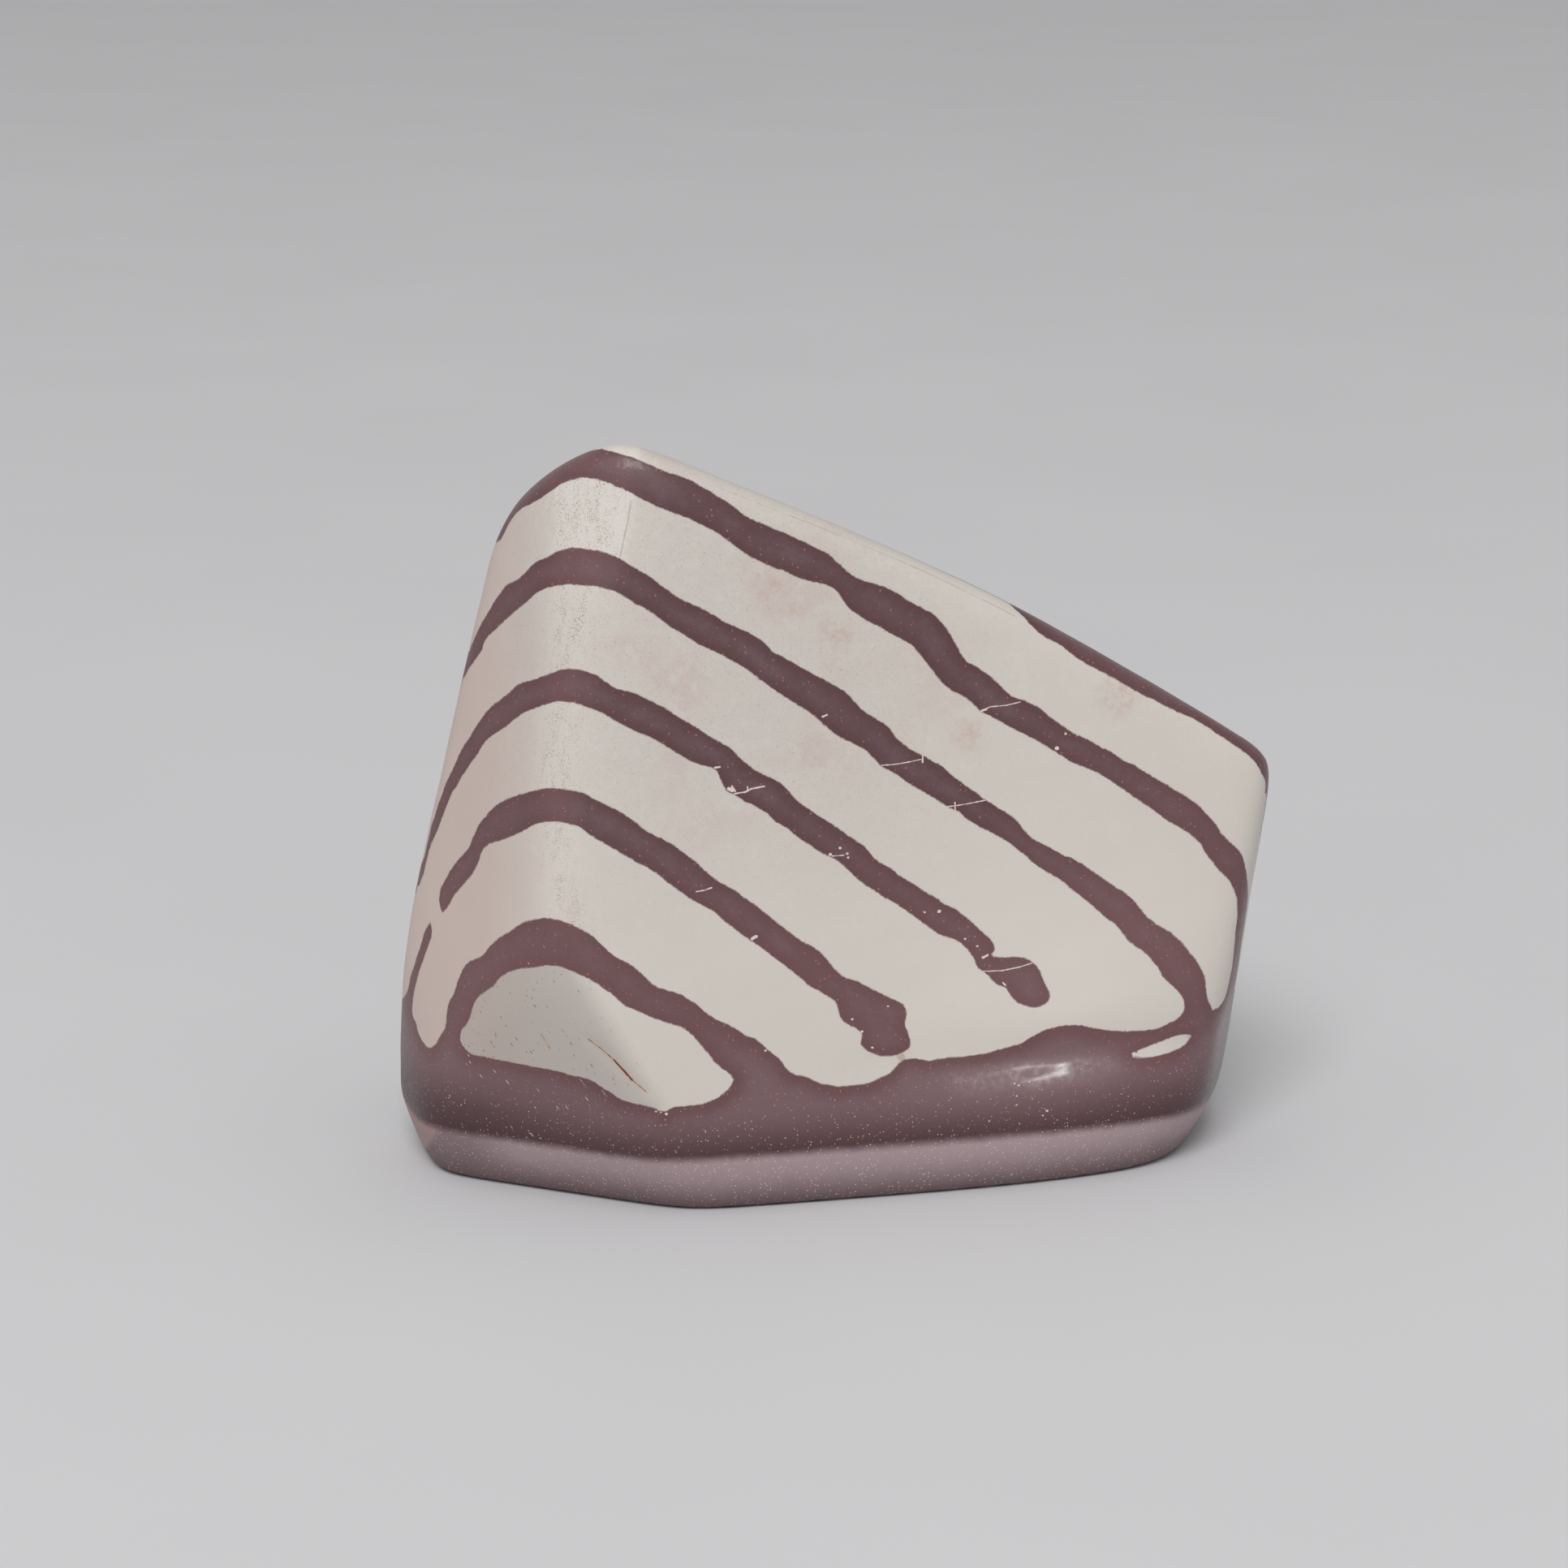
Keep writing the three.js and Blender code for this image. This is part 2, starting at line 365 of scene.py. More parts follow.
# Layers on the sides that the picture doesn't show. A layer is where height + tilt along x and y
# comes to a band's number at the stone's left end and right end; its last number is half the band's
# thickness, in mm.
LAYER_TILT = np.array([0.435, 1.65, 1.0])
LAYER_SHIFT = 5.2
HIDDEN_BANDS = {
    "third band": (-1.0, -1.0, 1.4),
    "second band": (23.0, 12.0, 1.6),
    "first band": (40.0, 32.5, 1.6),
    "top band": (55.6, 51.6, 1.5),
    "back band": (68.5, 66.5, 1.5),
    "upper back band": (83.0, 82.0, 1.4),
    "last band": (97.0, 97.0, 1.4),
}
HIDDEN_BASE_TOP = 16.5
RISE_MIDDLE = (46.0, -16.0)
RISE_REACH = 8.0
RISE_HEIGHT = 15.0
STONE_LENGTH = 92.0
LEAST_SLOPE = 0.6

# Waves of the layers, of their thickness, of the base zone's top and of the ground skin: each part's
# swing, its wave length in mm, and its shift.
LAYER_WAVES = ((2.2, 34, 0.0), (0.7, 11, 1.3))
THICKNESS_WAVES = ((0.25, 23, 2.0),)
BASE_TOP_WAVES = ((1.8, 31, 0.8), (0.6, 9, 0.2))
GRINDING_WAVES = ((0.7, 19, 0.5), (0.3, 7, 1.9))

# Where the outlines take over from the layers: from how far the skin faces the camera, and over how
# much of a turn. On the upright left side, which begins at an x in mm, both grow by the second pair.
OUTLINES_FROM = 0.03
OUTLINES_OVER = 0.09
LEFT_EARLIER = 0.48
LEFT_LONGER = 0.41
LEFT_FROM_X = -20
LEFT_OVER_X = 10
UPRIGHT_BELOW = 0.6
UPRIGHT_OVER = 0.3


def smooth_loop(corners, per_span=4):
    """Closed curve through the corners: between two of them a cubic whose direction at each corner is
    half the step between that corner's neighbours."""
    here = np.array(corners, float)
    before, after, beyond = np.roll(here, 1, 0), np.roll(here, -1, 0), np.roll(here, -2, 0)
    t = (np.arange(per_span) / per_span)[:, None, None]
    leaving, arriving = (after - before) / 2, (beyond - here) / 2
    curve = ((2 * t**3 - 3 * t**2 + 1) * here + (t**3 - 2 * t**2 + t) * leaving
             + (3 * t**2 - 2 * t**3) * after + (t**3 - t**2) * arriving)
    return curve.transpose(1, 0, 2).reshape(-1, 2)


def inside_loop(points, loop):
    """True where a level line to the right of a point crosses the loop an odd number of times."""
    result = np.zeros(len(points), bool)
    for (x0, y0), (x1, y1) in zip(loop, np.roll(loop, -1, 0)):
        straddles = (points[:, 1] < y0) != (points[:, 1] < y1)
        rise = (y1 - y0) or 1.0
        result ^= straddles & (points[:, 0] < x0 + (points[:, 1] - y0) * (x1 - x0) / rise)
    return result


def distance_to(points, line, block=4000):
    """Shortest distance from points to a closed line: to each stretch, the distance to its start plus
    the nearest share of its length, between 0 and 1. Stretches that are too long are left out. Worked
    out in blocks, to save memory."""
    span = np.roll(line, -1, 0) - line
    kept = np.linalg.norm(span, axis=1) < LONGEST_STRETCH
    start, span = line[kept], span[kept]
    square = np.maximum((span**2).sum(axis=1), 1e-9)
    nearest = np.empty(len(points))
    for first in range(0, len(points), block):
        way = points[first:first + block, None, :] - start
        share = np.clip((way * span).sum(axis=2) / square, 0, 1)
        way -= share[..., None] * span
        nearest[first:first + block] = np.sqrt((way**2).sum(axis=2).min(axis=1))
    return nearest


def marking(points, picture, corners):
    """How deep points lie inside an outline, in mm, and minus their distance outside it. Inside or
    outside is read on the picture, and the distance is taken on the stone. Points that are further
    out than the reach get minus that reach."""
    loop = smooth_loop(corners)
    margin = OUTLINE_REACH / MM_PER_PIXEL
    near = ((picture > loop.min(axis=0) - margin) & (picture < loop.max(axis=0) + margin)).all(axis=1)
    depth = np.full(len(points), -OUTLINE_REACH)
    away = np.minimum(distance_to(points[near], on_stone(loop)), OUTLINE_REACH)
    depth[near] = np.where(inside_loop(picture[near], loop), away, -away)
    return depth


def sway(points, length, shift):
    """Slow even waves between -1 and 1: the mean of three sines along slanted directions, with the
    given wave length in mm."""
    along = points @ np.array([[1.0, 0.3, -0.5], [0.2, 1.1, 0.6], [0.7, -0.4, 1.2]])
    return np.sin(along * 2 * np.pi / length + np.array([0.4, 2.1, 4.0]) + shift).mean(axis=1)


def waves(points, parts):
    """Sum of several slow waves, each its swing times its sway."""
    return sum(swing * sway(points, length, shift) for swing, length, shift in parts)


def hidden_markings(points, normals):
    """Depth inside the brown where the picture can't show it: half a band's thickness minus the
    distance from the middle of the nearest layer, over the layer's slope along the skin; or the
    distance below the top of the base zone, whichever is more. The base zone's top rises by exp(-(how
    far from the right corner / reach) squared), where it runs up into the first band."""
    layer = points @ LAYER_TILT + LAYER_SHIFT + waves(points, LAYER_WAVES)
    across = LAYER_TILT - (normals @ LAYER_TILT)[:, None] * normals
    slope = np.maximum(np.linalg.norm(across, axis=1), LEAST_SLOPE)
    width = 1 + waves(points, THICKNESS_WAVES)
    full = np.linalg.norm(LAYER_TILT)
    share = points[:, 0] / STONE_LENGTH + 0.5
    bands = [(half * width * full - np.abs(layer - left - (right - left) * share)) / slope
             for left, right, half in HIDDEN_BANDS.values()]
    from_corner = np.hypot(points[:, 0] - RISE_MIDDLE[0], points[:, 1] - RISE_MIDDLE[1])
    top = HIDDEN_BASE_TOP + waves(points, BASE_TOP_WAVES)
    top += RISE_HEIGHT * np.exp(-(from_corner / RISE_REACH)**2)
    return np.max(bands + [top - points[:, 2]], axis=0)


def brown_depth(points, normals):
    """Depth inside the brown, in mm: the outlines where the skin faces the camera, the layers where it
    faces away, and a blend of both over the turn between them, by 3 share^2 - 2 share^3."""
    picture = picture_points(points)
    brown = np.max([marking(points, picture, outline) for outline in BROWN_OUTLINES], axis=0)
    cream = np.max([marking(points, picture, outline) for outline in CREAM_OUTLINES], axis=0)
    front = np.minimum(brown, -cream)
    hidden = hidden_markings(points, normals)
    sight = CAMERA - points
    facing = (normals * sight).sum(axis=1) / np.linalg.norm(sight, axis=1)
    left = np.clip((LEFT_FROM_X - points[:, 0]) / LEFT_OVER_X, 0, 1)
    left *= np.clip((UPRIGHT_BELOW - normals[:, 2]) / UPRIGHT_OVER, 0, 1)
    turned = facing - OUTLINES_FROM + LEFT_EARLIER * left
    share = np.clip(turned / (OUTLINES_OVER + LEFT_LONGER * left), 0, 1)
    share = share * share * (3 - 2 * share)
    return hidden + (front - hidden) * share


def soft_zone(points, picture, corners, blur):
    """Share from 0 to 1 that fades in over the blur, in mm, across an outline's edge."""
    depth = marking(points, picture, corners)
    return np.clip(0.5 + depth / blur, 0, 1)


# The stone

# The hollows of hand grinding, which begin above the base, and the waist: its middle and its reach in
# x and z, its depth, and how far from the middle of the stone it comes in towards the front, in mm.
GRINDING_DEPTH = 0.16
GRINDING_FROM = 1.0
GRINDING_OVER = 4.0
WAIST_MIDDLE = (26.0, 14.9)
WAIST_REACH = (18.0, 2.7)
WAIST_DEPTH = 0.5
WAIST_OVER_Y = 8.0

# The crack in the fold over the lower left facet, as picture points, and its groove in mm.
FOLD_CRACK = [(724, 1281), (741, 1294), (756, 1307), (768, 1320), (779, 1332), (796, 1346)]
GROOVE_DEPTH = 0.12
GROOVE_REACH = 0.6


def settle(points, normals):
    """Slight hollows of hand grinding, only ever inwards: slow waves, a shallow waist of
    exp(-(distance / reach) squared) above the base zone's bulge at the right of the front, a groove of
    exp(-(distance / reach) squared) along the fold's crack, and no waves at the flat base."""
    uneven = 0.5 + 0.5 * waves(points, GRINDING_WAVES)
    depth = GRINDING_DEPTH * uneven * np.clip((points[:, 2] - GRINDING_FROM) / GRINDING_OVER, 0, 1)
    away = (((points[:, [0, 2]] - WAIST_MIDDLE) / WAIST_REACH)**2).sum(axis=1)
    depth += WAIST_DEPTH * np.exp(-away) * np.clip(-points[:, 1] / WAIST_OVER_Y, 0, 1)
    crack = distance_to(points, on_stone(FOLD_CRACK + FOLD_CRACK[::-1]))
    depth += GROOVE_DEPTH * np.exp(-(crack / GROOVE_REACH)**2)
    return points - normals * depth[:, None]


def make_stone():
    """The skin as one closed mesh in metres, with a number per point for each of its markings."""
    points, quads = skin()
    normals = normals_at(points)
    picture = picture_points(points)
    facts = {"brown": brown_depth(points, normals)}
    for name, (outline, blur) in SOFT_ZONES.items():
        facts[name] = soft_zone(points, picture, outline, blur) * (normals[:, 1] < ZONE_FACING_LIMIT)
    worn = settle(points, normals)
    mesh = bpy.data.meshes.new("zebra_rock_skin")
    mesh.vertices.add(len(worn))
    mesh.vertices.foreach_set("co", (worn * MM).ravel())
    mesh.loops.add(quads.size)
    mesh.loops.foreach_set("vertex_index", quads.ravel())
    mesh.polygons.add(len(quads))
    mesh.polygons.foreach_set("loop_start", np.arange(0, quads.size, 4))
    mesh.polygons.foreach_set("loop_total", np.full(len(quads), 4))
    mesh.polygons.foreach_set("use_smooth", np.ones(len(quads), bool))
    for name, values in facts.items():
        layer = mesh.attributes.new(name, "FLOAT", "POINT")
        layer.data.foreach_set("value", values.astype(np.float32))
    mesh.update(calc_edges=True)
    mesh.validate()
    stone = bpy.data.objects.new("zebra_rock_stone", mesh)
    bpy.context.scene.collection.objects.link(stone)
    return stone


# Materials

# A share that is too small to change any colour.
UNSEEN = 1e-9


def srgb(red, green, blue):
    """A display colour from 0 to 255 as the linear colour that the shader takes."""
    value = np.array([red, green, blue]) / 255
    linear = np.where(value <= 0.04045, value / 12.92, ((value + 0.055) / 1.055)**2.4)
    return (*linear, 1.0)


class Shades:
    """Builds one material's nodes. Sockets are filled by a number, a colour or another socket."""

    def __init__(self, name):
        self.material = bpy.data.materials.new(name)
        self.material.use_nodes = True
        self.tree = self.material.node_tree
        self.tree.nodes.clear()
        self.place = self.add("ShaderNodeTexCoord").outputs["Object"]

    def add(self, kind, sockets=None, **options):
        """A new node, with its sockets filled and its options set."""
        node = self.tree.nodes.new(kind)
        for option, value in options.items():
            setattr(node, option, value)
        for key, value in (sockets or {}).items():
            if isinstance(value, bpy.types.NodeSocket):
                self.tree.links.new(value, node.inputs[key])
            else:
                node.inputs[key].default_value = value
        return node

    def finish(self, surface):
        """Shows the surface's shader, and gives the finished material."""
        out = self.add("ShaderNodeOutputMaterial")
        self.tree.links.new(surface.outputs[0], out.inputs["Surface"])
        return self.material

    def math(self, operation, *values, clamp=False):
        sockets = dict(enumerate(values))
        return self.add("ShaderNodeMath", sockets, operation=operation, use_clamp=clamp).outputs[0]

    def vector(self, operation, *values, result="Vector"):
        sockets = dict(enumerate(values))
        return self.add("ShaderNodeVectorMath", sockets, operation=operation).outputs[result]

    def fact(self, name):
        """One of the numbers that the mesh has for each point."""
        return self.add("ShaderNodeAttribute", attribute_name=name).outputs["Fac"]

    def along(self, axis):
        """The place's part along X, Y or Z."""
        return self.add("ShaderNodeSeparateXYZ", {0: self.place}).outputs[axis]

    def ramp(self, value, low, high, to_low=0.0, to_high=1.0):
        """Soft step from one number to another as the value goes from low to high."""
        sockets = {"Value": value, "From Min": low, "From Max": high,
                   "To Min": to_low, "To Max": to_high}
        step = self.add("ShaderNodeMapRange", sockets, interpolation_type="SMOOTHSTEP")
        return step.outputs["Result"]

    def fade(self, length, span, most=1.0):
        """Share from 0 to the most as a length goes from a span's first number to its second, both
        in mm."""
        return self.ramp(length, span[0] * MM, span[1] * MM, 0.0, most)

    def noise(self, millimetres, detail=2.0, roughness=0.5, place=None):
        """Soft noise whose blobs are about as far apart as the given millimetres."""
        sockets = {"Vector": place or self.place, "Scale": 1 / (millimetres * MM),
                   "Detail": detail, "Roughness": roughness}
        return self.add("ShaderNodeTexNoise", sockets).outputs["Fac"]

    def wobble(self, value, millimetres, detail, swing):
        """The value with soft noise added, which goes half the swing down and half the swing up."""
        noise = self.math("MULTIPLY_ADD", self.noise(millimetres, detail), swing, -swing / 2)
        return self.math("ADD", value, noise)

    def mix(self, share, first, second, most=1.0):
        """The first colour with the second over it, by a share times the most that it may cover."""
        if most < 1.0:
            share = self.math("MULTIPLY", share, most)
        sockets = {"Factor": share, 6: first, 7: second}
        return self.add("ShaderNodeMix", sockets, data_type="RGBA").outputs[2]

    def specks(self, millimetres, size, rarity, place=None):
        """Scattered dots with a radius of 0.4 to 1 times the given size, in cells, and only in cells
        whose random number is above the rarity."""
        sockets = {"Vector": place or self.place, "Scale": 1 / (millimetres * MM)}
        cells = self.add("ShaderNodeTexVoronoi", sockets)
        away = cells.outputs["Distance"]
        chance = self.add("ShaderNodeSeparateColor", {"Color": cells.outputs["Color"]})
        radius = self.math("MULTIPLY_ADD", chance.outputs["Green"], 0.6 * size, 0.4 * size)
        dot = self.ramp(away, radius, self.math("MULTIPLY", radius, 0.5))
        return self.math("MULTIPLY", dot, self.ramp(chance.outputs["Red"], rarity, rarity + 0.02))

    def stretched(self, turn, stretch):
        """The place turned back by some angles and then shrunk along its own axes, which makes a
        pattern on it lie stretched along a direction."""
        sockets = {"Vector": self.place, "Rotation": turn, "Scale": stretch}
        return self.add("ShaderNodeMapping", sockets, vector_type="TEXTURE").outputs[0]

    def streaks(self, lines, nearest=1.0):
        """Distance to the nearest of many short lines, less its half width, in metres: along each
        line, the way from its start is cut to the nearest share of its length. Each line's nodes wait
        for the one before, through a share too small to see, because side by side they are too
        many."""
        nearest = self.math("MULTIPLY_ADD", nearest, UNSEEN, 1.0)
        for start, end, half_width in lines:
            span = end - start
            place = self.vector("MULTIPLY_ADD", nearest, (UNSEEN, UNSEEN, UNSEEN), self.place)
            way = self.vector("SUBTRACT", place, tuple(start))
            along = self.vector("DOT_PRODUCT", way, tuple(span), result="Value")
            along = self.math("MULTIPLY", along, 1 / float(span @ span), clamp=True)
            sockets = {0: tuple(span), "Scale": along}
            foot = self.add("ShaderNodeVectorMath", sockets, operation="SCALE").outputs[0]
            away = self.vector("DISTANCE", way, foot, result="Value")
            nearest = self.math("MINIMUM", nearest, self.math("SUBTRACT", away, half_width))
        return nearest


CREAM = srgb(195, 188, 181)
CREAM_PINK = srgb(191, 175, 167)
CREAM_PALE = srgb(201, 196, 189)
CREAM_SPECK = srgb(140, 124, 114)
RIDGE_CREAM_AND_SHEEN = srgb(203, 197, 190)
TOE_GREY_AND_PAINTED_SHADE = srgb(163, 154, 148)
SIDE_CREAM = srgb(193, 174, 166)
CREAM_LOW = srgb(203, 197, 189)
TOP_FACET_PAINTED_LIGHT = srgb(210, 205, 199)
BLOTCH_PINK = srgb(182, 154, 142)
BROWN = srgb(91, 62, 65)
BROWN_GREY = srgb(97, 72, 77)
BROWN_DEEP = srgb(74, 49, 52)
BROWN_RIM = srgb(78, 43, 45)
RIDGE_BROWN = srgb(116, 80, 82)
BASE_BROWN = srgb(114, 88, 93)
FOOT_PAINTED_SHADE = srgb(60, 30, 35)
BEVEL_PALE_AND_HIGHLIGHT = srgb(164, 144, 148)
BEVEL_PAINTED_SHADE = srgb(110, 90, 94)
CORNER_TAN_AND_REFLECTION = srgb(162, 136, 133)
PALE_CHIP = srgb(222, 204, 198)
PINK_SPECK = srgb(172, 108, 96)
SAND = srgb(162, 142, 125)
PIT_DARK = srgb(96, 80, 70)
RUST = srgb(98, 50, 24)
RUST_HALO = srgb(190, 156, 130)

# Where tones come in, by x or by height in mm: none at the first number, all of it at the second.
CREAM_PALES_DOWN = (52, 24)
CREAM_PALES_RIGHT = (0, 22)
SIDE_CREAM_LEFT = (-26, -38)
BROWN_PALES_DOWN = (46, 24)
BROWN_PALES_RIGHT = (12, 34)
BROWN_PALES_LEFT = (-24, -34)
BASE_ZONE_DOWN = (21, 14)
GLOSS_RIGHT = (-12, 6)
# Painted shade near the floor: the brown's foot, and the foot of both ends, darken downwards.
PAINTED_FOOT_SHADE_DOWN = (11.8, 6.3)
PAINTED_END_SHADE_DOWN = (14.5, 9)
PAINTED_END_SHADE_LEFT = (-20, -42)
PAINTED_END_SHADE_RIGHT = (20, 36)
BEVEL_DOWN = (7.3, 5.9)
# Painted shade on the bevel: darker towards the floor and towards the left corner.
PAINTED_BEVEL_SHADE_DOWN = (5.8, 0.8)
PAINTED_BEVEL_SHADE_LEFT = (-32, -39)

# Hairline cracks and chips, as picture points: a crack's points in turn, and its half width in mm.
RUST_CRACKS = [
    (FOLD_CRACK[:3], 0.02),
    (FOLD_CRACK[2:5], 0.08),
    (FOLD_CRACK[4:], 0.02),
    ([(666, 1274), (671, 1282), (677, 1292)], 0.0),
]
PALE_CRACKS = [
    ([(1209, 876), (1220, 871), (1240, 869), (1257, 865)], 0.07),
    ([(1209, 876), (1215, 874)], 0.13),
    ([(1087, 943), (1102, 942), (1120, 939), (1138, 935)], 0.07),
    ([(1137, 931), (1137, 939)], 0.10),
    ([(1166, 994), (1177, 993), (1195, 990), (1215, 986)], 0.07),
    ([(1177, 989), (1177, 997)], 0.10),
    ([(1212, 1197), (1235, 1196), (1255, 1192), (1272, 1187)], 0.07),
    ([(898, 972), (903, 974)], 0.20),
    ([(902, 969), (906, 975)], 0.12),
    ([(905, 978), (918, 976), (926, 972), (942, 969)], 0.09),
    ([(921, 969), (922, 975)], 0.09),
    ([(714, 1330), (722, 1341)], 0.04),
    ([(741, 1344), (747, 1352)], 0.04),
    ([(858, 1099), (868, 1097), (877, 1094)], 0.08),
    ([(881, 946), (887, 945)], 0.12),
    ([(1014, 883), (1019, 881)], 0.11),
    ([(1026, 1055), (1040, 1054)], 0.07),
    ([(1211, 1180), (1217, 1177)], 0.14),
    ([(1236, 1211), (1239, 1214)], 0.10),
    ([(927, 1157), (932, 1154)], 0.18),
]
PALE_CHIPS = [
    (1302, 922, 0.22), (1313, 904, 0.13), (1023, 1053, 0.18), (1035, 1045, 0.14), (1044, 1052, 0.13),
    (1045, 1057, 0.14), (1157, 1123, 0.18), (1139, 1124, 0.11), (1189, 1157, 0.11), (1204, 1166, 0.11),
    (1050, 1256, 0.12), (1062, 1271, 0.14), (1075, 1291, 0.14), (1094, 1240, 0.10), (943, 1295, 0.12),
    (1290, 1369, 0.14), (1285, 1375, 0.10), (1251, 1336, 0.10), (1256, 1338, 0.09), (1253, 1351, 0.08),
    (1253, 1362, 0.08), (1269, 1334, 0.07), (1219, 1382, 0.08), (1328, 1449, 0.10), (1339, 1446, 0.10),
    (1318, 1449, 0.08), (1157, 1448, 0.07), (1240, 1445, 0.08), (814, 1371, 0.14), (821, 1373, 0.12),
    (808, 1370, 0.08),
]
EDGE_LINES = [
    ([(872, 594), (941, 622), (1040, 661), (1138, 703), (1219, 742), (1253, 760)], 0.0),
    ([(777, 618), (774, 640), (769, 662), (764, 686)], 0.02),
    ([(1109, 1299), (1113, 1307)], 0.32),
]

# Length of a line that stands for a dot, in mm.
DOT_LENGTH = 0.05

# Faint pinkish blotches: picture point, and radius in mm.
PINK_BLOTCHES = [
    (952, 730, 3.0), (980, 748, 2.4), (1031, 782, 3.0), (1192, 905, 2.8), (1378, 857, 3.4),
    (700, 1120, 1.6), (1112, 1303, 1.9),
]


def worn_spots(picture):
    """The places of picture points on the settled skin, in metres."""
    points = on_stone(picture)
    return settle(points, normals_at(points)) * MM


def crack_lines(cracks):
    """Each crack's stretches as short lines on the stone, in metres: start, end and half width."""
    lines = []
    for trail, half_width in cracks:
        spots = worn_spots(trail)
        lines += [(start, end, half_width * MM) for start, end in zip(spots[:-1], spots[1:])]
    return lines


def spot_lines(chips):
    """Each chip as a line too short to tell from a dot."""
    spots = worn_spots([chip[:2] for chip in chips])
    halves = [chip[2] * MM for chip in chips]
    return [(spot, spot + RIGHTWARD * DOT_LENGTH * MM, half) for spot, half in zip(spots, halves)]


def marks(shades):
    """How far away the pale chips and cracks, the rusty cracks, the pinkish blotches and the sandy
    edge lines are, in metres."""
    pale = shades.streaks(crack_lines(PALE_CRACKS) + spot_lines(PALE_CHIPS))
    rusty = shades.streaks(crack_lines(RUST_CRACKS), pale)
    blotches = shades.streaks(spot_lines(PINK_BLOTCHES), rusty)
    edge_lines = shades.streaks(crack_lines(EDGE_LINES), blotches)
    return pale, rusty, blotches, edge_lines


def cream_tone(shades, sandy, toe, slanted):
    """The cream: clouded and finely specked, paler downwards and to the right, pinkish on the left
    side, pale and sandy along the ridge, partly as painted sheen, paler still on the ridge's top facet
    as painted light, greyer and pitted on the lower left facet, the grey partly painted shade."""
    mix, ramp, height, across = shades.mix, shades.ramp, shades.along("Z"), shades.along("X")
    tone = mix(ramp(shades.noise(11, 3, 0.55), 0.45, 0.75, 0.0, 0.75), CREAM, CREAM_PINK)
    tone = mix(ramp(shades.noise(1.4, 4, 0.6), 0.45, 0.75, 0.0, 0.55), tone, CREAM_PALE)
    tone = mix(ramp(shades.noise(0.24, 3, 0.6), 0.5, 0.8, 0.0, 0.32), tone, CREAM_SPECK)
    tone = mix(shades.specks(0.9, 0.13, 0.5), tone, CREAM_SPECK, 0.6)
    tone = mix(shades.fade(height, CREAM_PALES_DOWN, 0.8), tone, CREAM_LOW)
    tone = mix(shades.fade(across, CREAM_PALES_RIGHT, 0.6), tone, CREAM_LOW)
    tone = mix(shades.fade(across, SIDE_CREAM_LEFT, 0.85), tone, SIDE_CREAM)
    # Along the ridge the paler cream is partly its own grain and partly painted sheen; on its top
    # facet the paler cream is painted light.
    tone = mix(shades.fact("grain"), tone, RIDGE_CREAM_AND_SHEEN, 0.8)
    tone = mix(shades.fact("facet"), tone, TOP_FACET_PAINTED_LIGHT, 0.7)
    tone = mix(sandy, tone, SAND, 0.8)
    # On the lower left facet the greyer cream is partly its own tone, partly painted shade where the
    # facet faces down.
    tone = mix(toe, tone, TOE_GREY_AND_PAINTED_SHADE, 0.6)
    pits = shades.math("MULTIPLY", toe, shades.specks(0.36, 0.21, 0.1, slanted))
    return mix(pits, tone, PIT_DARK, 0.9)


def marked_cream(shades, tone, rusty, blotches, edge_lines):
    """The cream with rusty cracks and their halo, mottled pinkish blotches and sandy edge lines."""
    math, mix, ramp = shades.math, shades.mix, shades.ramp
    rusty = shades.wobble(rusty, 0.5, 2, 0.12 * MM)
    tone = mix(shades.fade(rusty, (0.5, 0.0), 0.3), tone, RUST_HALO)
    tone = mix(shades.fade(rusty, (0.06, -0.02)), tone, RUST)
    mottled = ramp(shades.noise(0.8, 4, 0.7), 0.4, 0.65, 0.1, 0.55)
    tone = mix(math("MULTIPLY", shades.fade(blotches, (0.0, -2.6)), mottled), tone, BLOTCH_PINK)
    edge_lines = shades.wobble(edge_lines, 0.6, 2, 0.16 * MM)
    return mix(shades.fade(edge_lines, (0.1, 0.0), 0.55), tone, SAND)


